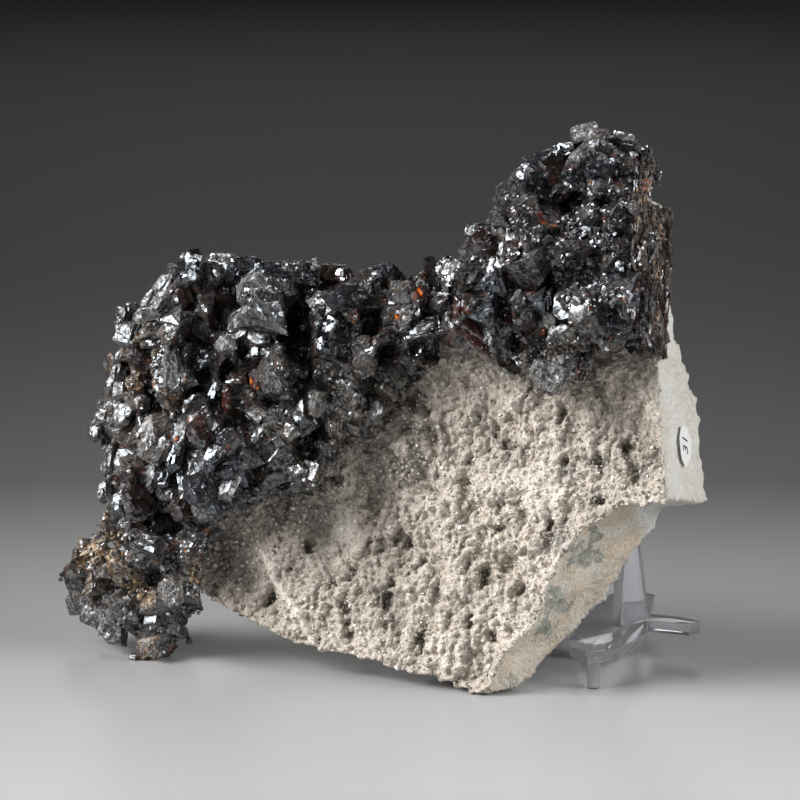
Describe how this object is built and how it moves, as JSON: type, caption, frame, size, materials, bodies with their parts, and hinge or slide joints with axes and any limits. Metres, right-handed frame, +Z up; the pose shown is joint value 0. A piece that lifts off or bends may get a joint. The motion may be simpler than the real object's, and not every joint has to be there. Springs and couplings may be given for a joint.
{
  "type": "sphalerite specimen",
  "caption": "Dark sphalerite crystals grown over the top and left side of a leaning slab of pale rock, propped on a small clear display stand.",
  "frame": {"origin": "middle of the whole object's footprint, on the surface it stands on", "axes": "+X to the right along the specimen's width, +Y away from the viewer, through the specimen's thin way, +Z up"},
  "size_m": [0.1605, 0.0693, 0.1337],
  "materials": {
    "rock": "rough, grainy pale rock with a sugary front face",
    "crystal": "glossy near-black crystals with red-brown glints",
    "clear_plastic": "polished clear acrylic",
    "paper": "matt white paper"
  },
  "bodies": {
    "root": {"matrix": "rock", "sphalerite": "crystal", "stand_base": "clear_plastic", "stand_fin": "clear_plastic", "label": "paper"}
  },
  "joints": []
}
